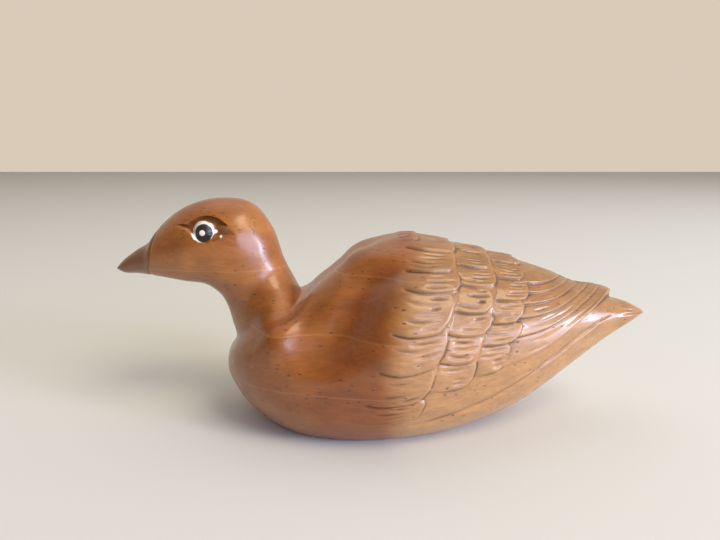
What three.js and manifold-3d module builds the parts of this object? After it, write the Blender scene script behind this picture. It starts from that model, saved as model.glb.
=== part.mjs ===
// A duck carved from one glued-up block of wood, resting on its flat underside.
// Millimetres, +Z up. The beak points along -X, the tail along +X, and the origin lies on the
// underside, below the middle of the carving.
import * as THREE from 'three';
import { mergeVertices } from 'three/addons/utils/BufferGeometryUtils.js';
import Module from 'manifold-3d';

// Driving dimensions: sections of the body from the beak's tip to the tail's tip, in mm.
// Each section lies between a point on the back and a point on the belly of the side view.
// Columns: back x, back z, belly x, belly z, half width, share of the way down to the widest
// place, and roundness above and below it (2 is an ellipse, more is squarer).
const SECTIONS = [
  [-129.0, 74.2, -128.7, 73.2, 0.9, 0.50, 2.0, 2.0], // tip of the beak
  [-126.5, 77.0, -126.0, 71.9, 2.9, 0.55, 2.0, 2.0],
  [-118.9, 82.8, -118.4, 71.4, 6.0, 0.60, 2.0, 2.1],
  [-111.5, 87.6, -113.2, 70.9, 8.8, 0.62, 2.0, 2.2], // base of the beak
  [-109.2, 90.7, -111.6, 70.7, 10.2, 0.60, 2.0, 2.2],
  [-102.6, 97.8, -103.6, 69.5, 13.8, 0.58, 2.0, 2.2], // forehead
  [-92.6, 104.4, -94.2, 67.8, 17.2, 0.55, 2.1, 2.1],
  [-76.6, 108.1, -84.2, 66.0, 19.3, 0.52, 2.1, 2.0], // crown
  [-61.8, 105.4, -77.8, 60.8, 18.8, 0.50, 2.1, 2.0],
  [-52.8, 94.5, -75.2, 55.3, 17.2, 0.50, 2.0, 2.0], // nape
  [-47.3, 78.8, -73.2, 47.8, 16.7, 0.50, 2.0, 2.0], // neck
  [-43.2, 69.0, -71.4, 40.2, 21.6, 0.47, 2.1, 2.0],
  [-39.8, 59.8, -74.9, 33.5, 31.0, 0.43, 2.5, 2.0], // notch behind the neck
  [-36.6, 61.2, -75.4, 27.0, 35.4, 0.43, 2.4, 2.0],
  [-32.6, 66.4, -71.2, 16.3, 38.8, 0.46, 2.25, 2.0], // breast
  [-25.6, 74.0, -61.2, 5.0, 42.0, 0.50, 1.9, 2.1],
  [-15.6, 83.0, -45.0, -4.4, 45.0, 0.56, 2.1, 2.25],
  [-1.6, 89.0, -22.6, -8.2, 48.8, 0.57, 2.2, 2.35],
  [15.4, 90.8, 5.4, -7.4, 50.4, 0.56, 2.2, 2.3], // top of the back
  [45.4, 84.1, 36.4, -3.6, 43.0, 0.54, 2.2, 2.2],
  [75.4, 76.0, 67.4, 8.2, 33.0, 0.50, 2.2, 2.1], // rump
  [97.4, 67.0, 91.4, 25.4, 23.0, 0.45, 2.1, 2.0],
  [112.4, 60.6, 109.8, 39.2, 15.2, 0.42, 2.0, 2.0],
  [123.2, 56.4, 121.8, 47.2, 9.8, 0.42, 2.0, 2.0],
  [129.0, 53.3, 128.6, 51.2, 4.5, 0.50, 2.0, 2.0], // tip of the tail
];

// A place on the duck is given by along, 0 at the beak's tip and 1 at the tail's tip, and by
// round, 0 on the back and 1 on the belly.

// Feather rows, from the front: where the row starts and its tips end, along, and the edges of
// its feathers, round. A first edge below 0 is a feather that lies across the back.
const FEATHER_ROWS = [
  { start: 0.562, tips: 0.600, edges: [-0.075, 0.075], sag: 0.0 },
  { start: 0.572, tips: 0.654, edges: [0, 0.11, 0.20, 0.27, 0.385, 0.47, 0.55, 0.625], sag: 0.016 },
  { start: 0.654, tips: 0.708, edges: [-0.06, 0.06, 0.16, 0.24, 0.33, 0.395, 0.465, 0.53], sag: 0.006 },
  { start: 0.708, tips: 0.758, edges: [0, 0.09, 0.19, 0.285, 0.365, 0.43, 0.505], sag: 0.004 },
];
const TIP_LEAN = 0.12; // how far the rows lean forward towards the belly
const TIP_LEAN_FROM = 0.30; // round
const TIP_LEAN_TO = 0.65; // round
const TIP_ROUNDING = 0.010; // how far a feather's corners lie before its tip
const TIP_ROUNDING_POWER = 3.5;
const TIP_SCATTER = 0.0035; // how unevenly the carver ended the tips
const FEATHER_FOOT = -1.0; // mm, where a feather comes out from under the row before it
const FEATHER_TIP = 0.8; // mm
const FEATHER_TILT = 0.4; // mm that a feather's lower edge stands over the next one

// Long flight feathers behind the rows: where each lower edge leaves the last row, round, and
// where it meets the middle of the back, along.
const FLIGHT_FEATHERS = [
  [0.20, 0.840],
  [0.25, 0.856],
  [0.30, 0.874],
  [0.355, 0.893],
  [0.42, 0.915],
  [0.50, 0.940],
];
const FLIGHT_FROM = 0.74;
const FLIGHT_CURL = 3.0;
const FLIGHT_STEP = 0.9; // mm from one flight feather down to the next
const WING_TIP_RISE = { from: 0.862, to: 0.93, height: 3.6 }; // mm that the wing tips rise over the tail
const UNDERCUT = 0.9; // mm that the flank lies below the wing's lower edge

// Mantle: the ridge that runs down from the back in front of each wing, the hollow behind it, and
// the wing's raised front. Their lines are points of the side view, x and z in mm, and are
// smoothed.
const MANTLE_RIDGE = smoothed([[-2.0, 88.0], [-13.0, 80.5], [-20.0, 71.8], [-28.0, 62.5], [-32.0, 55.0]]);
const MANTLE_RIDGE_HEIGHT = 2.2;
const MANTLE_RIDGE_WIDTH = 5.0;
const HOLLOW = smoothed([[8.0, 87.0], [-5.0, 80.9], [-13.0, 70.0], [-18.5, 58.0], [-24.5, 44.0], [-29.0, 32.0]]);
const HOLLOW_DEPTH = 7.5;
const HOLLOW_WIDTH_FRONT = [5.0, 14.0]; // mm, at its top and at its foot
const HOLLOW_WIDTH_BEHIND = 8.5;
const WING_FRONT = smoothed([[14.0, 86.0], [4.5, 76.0], [2.5, 65.0], [3.0, 50.0], [0.0, 38.0], [4.0, 24.0]]);
const WING_FRONT_HEIGHT = 1.6;
const WING_FRONT_WIDTH = 8.0;
const SLOPE_REACH = 3; // mm above and below a height, for the slope of a line there
const BACK_VALLEY = { x: -15.6, halfLength: 13, depth: 2.6, width: 7 };
const NECK_SWELL = { x: -47.5, z: 51.5, halfWidth: 6, halfHeight: 8, height: 3.4 };

// Groove round the base of the beak, and the crease low on the flank.
const BEAK_GROOVE = { along: 0.0705, curl: 0.0125, depth: 0.7, width: 0.0022 };
const FLANK_CREASE = { low: 0.665, high: 0.47, from: 0.585, to: 0.90, depth: 0.7, width: 0.010 };

// Eyes: a domed eyeball in a knife-cut socket. The socket's outline runs round the right eye from
// its front corner over the brow, each point at the depth of the cut there, and centre is where
// the floor is deepest. The left eye mirrors it.
const EYE = { x: -80.9, y: 11.4, z: 93.4, radius: 6.2, segments: 20 };
const SOCKET = {
  outline: [
    [-93.9, 13.8, 96.1], [-88.6, 15.0, 97.9], [-82.8, 14.0, 100.3], [-76.2, 13.2, 100.2],
    [-71.0, 13.7, 97.4], [-67.3, 15.0, 93.2], [-66.3, 16.6, 89.1], [-72.4, 18.6, 90.0],
    [-77.0, 18.9, 89.4], [-83.5, 18.3, 88.7], [-87.8, 17.0, 93.2],
  ],
  centre: [-78.3, 15.4, 94.6],
  outside: 40,
};

// Fineness of the faceted surface: places of the rings along the duck, and gaps at its steps.
const BEAK_RINGS = [0, 0.010, 0.035, 0.060];
const BODY_RINGS = [
  0.093, 0.112, 0.132, 0.152, 0.173, 0.194, 0.215, 0.236, 0.257, 0.279, 0.302, 0.325, // head
  0.348, 0.366, 0.380, 0.393, 0.406, 0.419, 0.432, 0.447, 0.463, 0.480, 0.499, 0.519, 0.540, // neck, breast
];
const BEAK_GROOVE_OFFSETS = [-0.0035, 0, 0.0035];
const TAIL_RINGS = [0.80, 0.83, 0.855, 0.875, 0.895, 0.915, 0.93, 0.9385, 0.9415, 0.96, 0.98, 1];
const ROW_LINES_FROM = 0.36; // along, where the lines start to come together into feather edges
const ROUND_LINES = 38; // from the back to the belly, on each side
const EDGE_GAP = 0.004; // round, between the two lines that make the step at a feather's edge
const TIP_GAP = 0.0011; // along, from a row's tips to the ring on either side of their step
const PLAIN_GAP = 0.007; // along, the same below the wing, where there is no step
const FLIGHT_LEAST = 0.015; // round, the least between two lines of the flight feathers
const FLIGHT_FULL_WIDTH = 0.05; // round, the width at which a flight feather stands to its full step

const WOOD = { color: 0xa8662f, roughness: 0.35, metalness: 0 };

// Cuts the corners of a line, three times over, so that it bends smoothly.
function smoothed(line) {
  let points = line;
  for (let round = 0; round < 3; round++) {
    const cut = points.slice(1).flatMap(([bx, bz], i) => {
      const [ax, az] = points[i];
      return [[0.75 * ax + 0.25 * bx, 0.75 * az + 0.25 * bz], [0.25 * ax + 0.75 * bx, 0.25 * az + 0.75 * bz]];
    });
    points = [points[0], ...cut, points.at(-1)];
  }
  return points;
}

const clamp = THREE.MathUtils.clamp;
const lerp = THREE.MathUtils.lerp;
const smooth = (low, high, value) => THREE.MathUtils.smoothstep(value, low, high);
const bell = (value) => Math.exp(-0.5 * value * value);

// Where each section lies along the duck, by the mean length of the back and belly lines.
const sectionPlaces = (() => {
  const places = [0];
  for (let i = 1; i < SECTIONS.length; i++) {
    const [a, b] = [SECTIONS[i - 1], SECTIONS[i]];
    const step = (Math.hypot(b[0] - a[0], b[1] - a[1]) + Math.hypot(b[2] - a[2], b[3] - a[3])) / 2;
    places.push(places[i - 1] + step);
  }
  return places.map((place) => place / places.at(-1));
})();

// Slope of every column at every section, for a smooth curve through the sections.
const sectionSlopes = SECTIONS.map((section, i) => {
  const slope = (a, b) => section.map((_, c) => (SECTIONS[b][c] - SECTIONS[a][c])
    / (sectionPlaces[b] - sectionPlaces[a]));
  if (i === 0) return slope(0, 1);
  if (i === SECTIONS.length - 1) return slope(i - 1, i);
  const before = slope(i - 1, i);
  const after = slope(i, i + 1);
  const share = (sectionPlaces[i] - sectionPlaces[i - 1]) / (sectionPlaces[i + 1] - sectionPlaces[i - 1]);
  return before.map((value, c) => lerp(value, after[c], share));
});

function sectionAt(along) {
  let i = 0;
  while (i < SECTIONS.length - 2 && along >= sectionPlaces[i + 1]) i++;
  const length = sectionPlaces[i + 1] - sectionPlaces[i];
  const u = (along - sectionPlaces[i]) / length;
  const startShare = (1 + 2 * u) * (1 - u) ** 2;
  const endShare = u * u * (3 - 2 * u);
  const startSlope = u * (1 - u) ** 2 * length;
  const endSlope = u * u * (u - 1) * length;
  return SECTIONS[i].map((value, c) => startShare * value + endShare * SECTIONS[i + 1][c]
    + startSlope * sectionSlopes[i][c] + endSlope * sectionSlopes[i + 1][c]);
}

// The plain form before any carving, on the left side (y below 0).
function plainPoint(along, round) {
  const [backX, backZ, bellyX, bellyZ, halfWidth, widest, above, below] = sectionAt(along);
  const angle = round * Math.PI;
  const upper = Math.cos(angle) >= 0;
  const power = 2 / (upper ? above : below);
  const rise = Math.abs(Math.cos(angle)) ** power;
  const share = upper ? widest * (1 - rise) : widest + (1 - widest) * rise;
  const side = Math.max(Math.sin(angle), 0) ** power;
  return new THREE.Vector3(lerp(backX, bellyX, share), -halfWidth * side, lerp(backZ, bellyZ, share));
}

function outwardAt(along, round) {
  const step = 1e-4;
  const lengthwise = plainPoint(Math.min(along + step, 1), round)
    .sub(plainPoint(Math.max(along - step, 0), round));
  const crosswise = plainPoint(along, Math.min(round + step, 1))
    .sub(plainPoint(along, Math.max(round - step, 0)));
  const outward = crosswise.cross(lengthwise);
  if (round === 0 || round === 1) outward.y = 0;
  return outward.normalize();
}

// Where a line of the side view lies at a height. Lines run down from the back.
function xAtHeight(line, z) {
  const below = line.findIndex((point) => point[1] <= z);
  if (below === 0) return line[0][0];
  if (below < 0) return line.at(-1)[0];
  const [[ax, az], [bx, bz]] = [line[below - 1], line[below]];
  return lerp(bx, ax, (z - bz) / (az - bz));
}

// Distance of a side-view point from a line: above 0 on the tail's side of it. Also how far down
// the line the place lies, from 0 to 1.
function distanceFromLine(x, z, line) {
  const slope = (xAtHeight(line, z + SLOPE_REACH) - xAtHeight(line, z - SLOPE_REACH)) / (2 * SLOPE_REACH);
  const [top, bottom] = [line[0][1], line.at(-1)[1]];
  return { distance: (x - xAtHeight(line, z)) / Math.hypot(1, slope), share: (top - z) / (top - bottom) };
}

const lean = (round) => TIP_LEAN * (clamp(round, TIP_LEAN_FROM, TIP_LEAN_TO) - TIP_LEAN_FROM);
const scatter = (row, feather) => TIP_SCATTER * Math.sin(12.9898 * row + 78.233 * feather + 1.7);

// Edges of a row's feathers where they cross a place along the row. They sag towards the belly.
function rowEdges(row, leaned) {
  const { start, tips, edges, sag } = FEATHER_ROWS[row];
  const shift = sag * Math.sin(Math.PI * clamp((leaned - start) / (tips - start), 0, 1));
  return edges.map((edge) => (edge > 0 ? edge + shift : edge));
}

// The feather of a row that covers a place: how far across it the place lies, from -1 at its
// upper edge to 1 at its lower one, and where its tip is. Nothing below the wing.
function featherAt(row, leaned, round) {
  const edges = rowEdges(row, leaned);
  const feather = edges.findIndex((low, i) => round >= Math.max(low, 0) && round <= edges[i + 1]);
  if (feather < 0) return null;
  const [low, high] = [edges[feather], edges[feather + 1]];
  const across = clamp((2 * round - low - high) / (high - low), -1, 1);
  const rounding = TIP_ROUNDING * Math.abs(across) ** TIP_ROUNDING_POWER;
  return { across, tip: FEATHER_ROWS[row].tips + scatter(row, feather) - rounding };
}

const flightEdge = (feather, along) => {
  const [leave, end] = FLIGHT_FEATHERS[feather];
  const u = Math.max((along - FLIGHT_FROM) / (end - FLIGHT_FROM), 0);
  return leave * (1 - u ** FLIGHT_CURL);
};

// Height of a feather row over the plain form, or null where its feathers have ended.
function rowHeight(row, along, round) {
  const leaned = along + lean(round);
  const feather = featherAt(row, leaned, round);
  if (!feather || leaned > feather.tip) return null;
  const { start } = FEATHER_ROWS[row];
  if (leaned < start) return 0;
  const comesOut = row > 1 || (row === 1 && round < FEATHER_ROWS[0].edges.at(-1));
  const from = comesOut ? FEATHER_ROWS[row - 1].tips : start;
  const share = clamp((leaned - from) / (feather.tip - from), 0, 1);
  const tilt = FEATHER_TILT * feather.across * smooth(0, 0.4, share);
  return lerp(comesOut ? FEATHER_FOOT : 0, FEATHER_TIP, share) + tilt;
}

// Height of the flight feathers over the plain form, or null below and behind them.
function flightHeight(along, round) {
  const { from, to, height } = WING_TIP_RISE;
  const level = height * smooth(from, to, along) - UNDERCUT;
  let upper = -0.2;
  for (let feather = 0; feather < FLIGHT_FEATHERS.length; feather++) {
    const lower = flightEdge(feather, along);
    if (round >= upper && round <= lower) {
      const shown = Math.min(1, (lower - Math.max(upper, 0)) / FLIGHT_FULL_WIDTH);
      const across = (round - upper) / (lower - upper);
      return level + FLIGHT_STEP * shown * (across ** 1.5 - 0.45);
    }
    upper = lower;
  }
  return null;
}

// Height of the wing's carving: the foremost feather covers the ones behind it.
function wingHeight(along, round) {
  for (let row = 0; row < FEATHER_ROWS.length; row++) {
    const height = rowHeight(row, along, round);
    if (height !== null) return height;
  }
  const flight = along > FLIGHT_FROM - lean(round) ? flightHeight(along, round) : null;
  if (flight !== null) return flight;
  const lengthwise = smooth(0.60, 0.66, along + lean(round)) * (1 - smooth(0.94, 0.985, along));
  return -UNDERCUT * lengthwise * (1 - smooth(0.60, 0.72, round));
}

// Height of the mantle's carving, by the place's point in the side view.
function mantleHeight({ x, y, z }) {
  const ridge = distanceFromLine(x, z, MANTLE_RIDGE);
  const hollow = distanceFromLine(x, z, HOLLOW);
  const front = distanceFromLine(x, z, WING_FRONT);
  const fade = (share) => smooth(0, 0.2, share) * (1 - smooth(0.6, 1, share));
  const width = hollow.distance > 0 ? HOLLOW_WIDTH_BEHIND
    : lerp(...HOLLOW_WIDTH_FRONT, clamp(hollow.share, 0, 1));
  const valley = BACK_VALLEY.depth * bell((x - BACK_VALLEY.x) / BACK_VALLEY.halfLength)
    * bell(y / BACK_VALLEY.width) * smooth(40, 60, z);
  const swell = NECK_SWELL.height * bell((x - NECK_SWELL.x) / NECK_SWELL.halfWidth)
    * bell((z - NECK_SWELL.z) / NECK_SWELL.halfHeight);
  return MANTLE_RIDGE_HEIGHT * fade(ridge.share) * bell(ridge.distance / MANTLE_RIDGE_WIDTH)
    + WING_FRONT_HEIGHT * fade(front.share) * bell(front.distance / WING_FRONT_WIDTH)
    - HOLLOW_DEPTH * fade(hollow.share) * bell(hollow.distance / width) - valley + swell;
}

const beakGrooveAt = (round) => BEAK_GROOVE.along + BEAK_GROOVE.curl * (1 - round) ** 3;

const flankCreaseAt = (along) => {
  const { low, high, from, to } = FLANK_CREASE;
  return lerp(low, high, clamp((along - from) / (to - from), 0, 1) ** 2);
};

function grooveHeight(along, round) {
  const beak = BEAK_GROOVE.depth * bell((along - beakGrooveAt(round)) / BEAK_GROOVE.width);
  const { from, to, depth, width } = FLANK_CREASE;
  const lengthwise = smooth(from - 0.03, from + 0.05, along) * (1 - smooth(to - 0.02, to + 0.02, along));
  return -beak - depth * lengthwise * bell((round - flankCreaseAt(along)) / width);
}

function carvedPoint(along, round) {
  const point = plainPoint(along, round);
  const height = wingHeight(along, round) + mantleHeight(point) + grooveHeight(along, round);
  return point.addScaledVector(outwardAt(along, round), height);
}

// Lines round a ring: two at each feather edge, two between them, and the rest below the wing.
function roundLines(edges) {
  const lines = [0];
  let from = 0;
  for (const edge of edges.filter((value) => value > 0)) {
    lines.push(lerp(from, edge, 0.35), lerp(from, edge, 0.65), edge - EDGE_GAP, edge + EDGE_GAP);
    from = edge;
  }
  const left = ROUND_LINES - lines.length;
  for (let i = 1; i <= left; i++) lines.push(lerp(from + EDGE_GAP, 1, i / left));
  return lines;
}

const evenLines = Array.from({ length: ROUND_LINES }, (_, i) => i / (ROUND_LINES - 1));

// Where the tips of a row lie, without the row's lean.
const tipLine = (row, round) => featherAt(row, FEATHER_ROWS[row].tips, round)?.tip ?? FEATHER_ROWS[row].tips;

// How far a ring keeps from the row's tips: little where there is a step, more below the wing.
const tipGap = (row, round) => {
  const wingEdge = FEATHER_ROWS[row].edges.at(-1);
  return lerp(TIP_GAP, PLAIN_GAP, smooth(wingEdge, wingEdge + 0.06, round));
};

// Rings of a row of feathers, from just behind the tips before it to just before its own tips.
function rowRings(row, shares) {
  const { start, tips } = FEATHER_ROWS[row];
  const front = (round) => (row === 0 ? start : tipLine(row - 1, round) + tipGap(row - 1, round));
  const back = (round) => tipLine(row, round) - tipGap(row, round);
  return shares.map((share) => {
    const leaned = lerp(row === 0 ? start : FEATHER_ROWS[row - 1].tips, tips, share);
    const lines = roundLines([...rowEdges(Math.max(row, 1), leaned), flankCreaseAt(leaned)]);
    return lines.map((round) => [lerp(front(round), back(round), share) - lean(round), round]);
  });
}

// A ring of the flight feathers or the tail, with lines along the feathers' edges.
function flightRing(along, behindRows) {
  const edges = FLIGHT_FEATHERS.map((_, i) => Math.max(flightEdge(i, along), FLIGHT_LEAST * (i + 1)));
  const last = FEATHER_ROWS.length - 1;
  const leaned = (round) => tipLine(last, round) + tipGap(last, round) - lean(round);
  return roundLines([...edges, flankCreaseAt(along)])
    .map((round) => [behindRows ? leaned(round) : along, round]);
}

// A ring before the rows, whose lines and lean come to those of the rows as it nears them.
function frontRing(along) {
  const share = smooth(ROW_LINES_FROM, FEATHER_ROWS[0].start, along);
  const firstRow = roundLines([...rowEdges(1, 0), flankCreaseAt(0)]);
  return evenLines.map((even, i) => {
    const round = lerp(even, firstRow[i], share);
    return [along - share * lean(round), round];
  });
}

const beakGrooveRing = (offset) => evenLines.map((round) => [beakGrooveAt(round) + offset, round]);

const rings = [
  ...BEAK_RINGS.map(frontRing),
  ...BEAK_GROOVE_OFFSETS.map(beakGrooveRing),
  ...BODY_RINGS.map(frontRing),
  ...rowRings(0, [0, 0.5, 1]),
  ...rowRings(1, [0, 0.5, 1]),
  ...rowRings(2, [0, 0.5, 1]),
  ...rowRings(3, [0, 0.5, 1]),
  flightRing(FEATHER_ROWS.at(-1).tips, true),
  ...TAIL_RINGS.map((along) => flightRing(along, false)),
];

// The whole closed surface: the rings, mirrored to the right side, and a cap at either end.
function bodyGeometry() {
  const around = 2 * (ROUND_LINES - 1);
  const positions = [];
  for (const ring of rings) {
    const left = ring.map(([along, round]) => carvedPoint(along, round));
    const right = left.slice(1, -1).reverse().map((point) => new THREE.Vector3(point.x, -point.y, point.z));
    for (const point of [...left, ...right]) positions.push(point.x, point.y, point.z);
  }
  const indices = [];
  for (let ring = 0; ring < rings.length - 1; ring++) {
    for (let i = 0; i < around; i++) {
      const a = ring * around + i;
      const b = ring * around + (i + 1) % around;
      indices.push(a, b, a + around, b, b + around, a + around);
    }
  }
  const last = (rings.length - 1) * around;
  for (let i = 1; i < around - 1; i++) {
    indices.push(0, i + 1, i);
    indices.push(last, last + i, last + i + 1);
  }
  const geometry = new THREE.BufferGeometry();
  geometry.setAttribute('position', new THREE.Float32BufferAttribute(positions, 3));
  geometry.setIndex(indices);
  return geometry;
}

const wasm = await Module();
wasm.setup();

function toSolid(geometry) {
  const bare = geometry.clone();
  bare.deleteAttribute('normal');
  bare.deleteAttribute('uv');
  const merged = mergeVertices(bare, 1e-5);
  return new wasm.Manifold(new wasm.Mesh({
    numProp: 3,
    vertProperties: new Float32Array(merged.attributes.position.array),
    triVerts: new Uint32Array(merged.index.array),
  }));
}

function toGeometry(solid) {
  const { vertProperties, triVerts } = solid.getMesh();
  const geometry = new THREE.BufferGeometry();
  geometry.setAttribute('position', new THREE.BufferAttribute(new Float32Array(vertProperties), 3));
  geometry.setIndex(new THREE.BufferAttribute(new Uint32Array(triVerts), 1));
  geometry.computeVertexNormals();
  return geometry;
}

// Everything below the underside, which is cut off flat.
function groundCutter() {
  const block = new THREE.BoxGeometry(400, 400, 60);
  block.translate(0, 0, -30);
  return toSolid(block);
}

// A knife-cut chip: steep walls round the outline, and a floor that falls to one deep point.
function socketCutter(side) {
  const { outline, centre, outside } = SOCKET;
  const count = outline.length;
  const positions = [centre[0], side * centre[1], centre[2]];
  for (const [x, y, z] of outline) positions.push(x, side * y, z);
  for (const [x, , z] of outline) positions.push(x, side * outside, z);
  positions.push(centre[0], side * outside, centre[2]);
  const indices = [];
  for (let i = 0; i < count; i++) {
    const a = 1 + i;
    const b = 1 + (i + 1) % count;
    const faces = [[0, b, a], [a, b, b + count], [a, b + count, a + count], [2 * count + 1, a + count, b + count]];
    for (const face of faces) indices.push(...(side > 0 ? face : face.reverse()));
  }
  const geometry = new THREE.BufferGeometry();
  geometry.setAttribute('position', new THREE.Float32BufferAttribute(positions, 3));
  geometry.setIndex(indices);
  return toSolid(geometry);
}

function eyeball(side) {
  const ball = new THREE.SphereGeometry(EYE.radius, EYE.segments, EYE.segments / 2);
  ball.translate(EYE.x, side * EYE.y, EYE.z);
  return toSolid(ball);
}

function duckGeometry() {
  let duck = toSolid(bodyGeometry()).subtract(groundCutter());
  for (const side of [-1, 1]) duck = duck.subtract(socketCutter(side)).add(eyeball(side));
  return toGeometry(duck);
}

const duck = new THREE.Group();
const carving = new THREE.Mesh(duckGeometry(), new THREE.MeshStandardMaterial(WOOD));
carving.name = 'duck_carving';
duck.add(carving);

export default duck;
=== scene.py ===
# A carved wooden duck: its fine carving, its polished stained wood and its painted eyes.
import math

import bpy
import numpy as np
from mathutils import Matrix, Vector


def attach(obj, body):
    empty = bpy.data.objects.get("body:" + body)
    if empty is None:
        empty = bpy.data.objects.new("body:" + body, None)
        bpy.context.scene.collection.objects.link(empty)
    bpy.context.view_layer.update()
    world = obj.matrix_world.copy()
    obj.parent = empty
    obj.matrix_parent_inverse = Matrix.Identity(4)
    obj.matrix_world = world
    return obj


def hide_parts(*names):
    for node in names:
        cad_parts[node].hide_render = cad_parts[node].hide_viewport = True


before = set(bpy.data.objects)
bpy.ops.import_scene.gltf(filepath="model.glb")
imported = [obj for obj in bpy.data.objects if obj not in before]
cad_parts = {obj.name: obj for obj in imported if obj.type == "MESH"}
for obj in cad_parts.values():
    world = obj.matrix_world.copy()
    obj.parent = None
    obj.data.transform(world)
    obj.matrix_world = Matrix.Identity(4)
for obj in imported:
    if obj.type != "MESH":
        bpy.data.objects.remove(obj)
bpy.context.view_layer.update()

MM = 0.001

# Camera, in metres and degrees: beside the duck's left flank, a little above it.
CAMERA_PLACE = (-0.0101, -0.260, 0.128)
CAMERA_PITCH = 12.0
CAMERA_LENS = 27.05  # mm on a 36 mm sensor


def make_camera():
    data = bpy.data.cameras.new("camera")
    data.sensor_width = 36.0
    data.lens = CAMERA_LENS
    data.clip_start = 0.01
    camera = bpy.data.objects.new("camera", data)
    camera.location = CAMERA_PLACE
    camera.rotation_euler = (math.radians(90.0 - CAMERA_PITCH), 0.0, 0.0)
    bpy.context.collection.objects.link(camera)
    bpy.context.scene.camera = camera


make_camera()

# Sections of the body from the beak's tip to the tail's tip, in mm: back x, back z, belly x,
# belly z, half width, share of the way down to the widest place, roundness above and below it.
SECTIONS = np.array([
    [-129.0, 74.2, -128.7, 73.2, 0.9, 0.50, 2.0, 2.0],
    [-126.5, 77.0, -126.0, 71.9, 2.9, 0.55, 2.0, 2.0],
    [-118.9, 82.8, -118.4, 71.4, 6.0, 0.60, 2.0, 2.1],
    [-111.5, 87.6, -113.2, 70.9, 8.8, 0.62, 2.0, 2.2],
    [-109.2, 90.7, -111.6, 70.7, 10.2, 0.60, 2.0, 2.2],
    [-102.6, 97.8, -103.6, 69.5, 13.8, 0.58, 2.0, 2.2],
    [-92.6, 104.4, -94.2, 67.8, 17.2, 0.55, 2.1, 2.1],
    [-76.6, 108.1, -84.2, 66.0, 19.3, 0.52, 2.1, 2.0],
    [-61.8, 105.4, -77.8, 60.8, 18.8, 0.50, 2.1, 2.0],
    [-52.8, 94.5, -75.2, 55.3, 17.2, 0.50, 2.0, 2.0],
    [-47.3, 78.8, -73.2, 47.8, 16.7, 0.50, 2.0, 2.0],
    [-43.2, 69.0, -71.4, 40.2, 21.6, 0.47, 2.1, 2.0],
    [-39.8, 59.8, -74.9, 33.5, 31.0, 0.43, 2.5, 2.0],
    [-36.6, 61.2, -75.4, 27.0, 35.4, 0.43, 2.4, 2.0],
    [-32.6, 66.4, -71.2, 16.3, 38.8, 0.46, 2.25, 2.0],
    [-25.6, 74.0, -61.2, 5.0, 42.0, 0.50, 1.9, 2.1],
    [-15.6, 83.0, -45.0, -4.4, 45.0, 0.56, 2.1, 2.25],
    [-1.6, 89.0, -22.6, -8.2, 48.8, 0.57, 2.2, 2.35],
    [15.4, 90.8, 5.4, -7.4, 50.4, 0.56, 2.2, 2.3],
    [45.4, 84.1, 36.4, -3.6, 43.0, 0.54, 2.2, 2.2],
    [75.4, 76.0, 67.4, 8.2, 33.0, 0.50, 2.2, 2.1],
    [97.4, 67.0, 91.4, 25.4, 23.0, 0.45, 2.1, 2.0],
    [112.4, 60.6, 109.8, 39.2, 15.2, 0.42, 2.0, 2.0],
    [123.2, 56.4, 121.8, 47.2, 9.8, 0.42, 2.0, 2.0],
    [129.0, 53.3, 128.6, 51.2, 4.5, 0.50, 2.0, 2.0],
])

# A place on the duck is given by along, 0 at the beak's tip and 1 at the tail's tip, and by
# round, 0 on the back and 1 on the belly.

# Feather rows: where each starts and its tips end, along; the edges of its feathers, round; and
# how far the edges sag.
FEATHER_ROWS = [
    dict(start=0.562, tips=0.600, edges=[-0.075, 0.075], sag=0.0),
    dict(start=0.572, tips=0.654, edges=[0, 0.11, 0.20, 0.27, 0.385, 0.47, 0.55, 0.625], sag=0.016),
    dict(start=0.654, tips=0.708, edges=[-0.06, 0.06, 0.16, 0.24, 0.33, 0.395, 0.465, 0.53],
         sag=0.006),
    dict(start=0.708, tips=0.758, edges=[0, 0.09, 0.19, 0.285, 0.365, 0.43, 0.505], sag=0.004),
]
TIP_LEAN = 0.12  # how far the rows lean forward towards the belly
TIP_LEAN_FROM, TIP_LEAN_TO = 0.30, 0.65  # round
TIP_ROUNDING, TIP_ROUNDING_POWER = 0.010, 3.5  # how far a feather's corners lie before its tip
TIP_SCATTER = 0.0035  # how unevenly the carver ended the tips
FEATHER_FOOT, FEATHER_TIP, FEATHER_TILT = -0.8, 0.6, 0.40  # mm over the plain form
EDGE_SOFTNESS = 0.30  # mm, half the width of the step at an edge
EDGE_CUT, EDGE_CUT_WIDTH = 0.35, 0.45  # mm, the knife's cut beside an edge
EDGE_CUT_AT_FOOT = 1.8  # how much deeper that cut is where the feather comes out
STROKE_DEPTH, STROKE_WIDTH, STROKE_SPACING = 0.90, 0.70, 1.7  # mm, the width is to one side
STROKE_REACH = 0.8  # share of a feather's half width over which its strokes spread
STROKE_STARTS, STROKE_ENDS = (0.05, 0.6), (0.80, 1.02)  # share of the way from foot to tip
STROKE_SHIFT, STROKE_SLANT = 0.2, 0.15  # the most, in strokes and in half widths
STROKE_WIDTHS, STROKE_DEPTHS = (0.7, 1.3), (0.5, 1.2)  # times the values above

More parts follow.
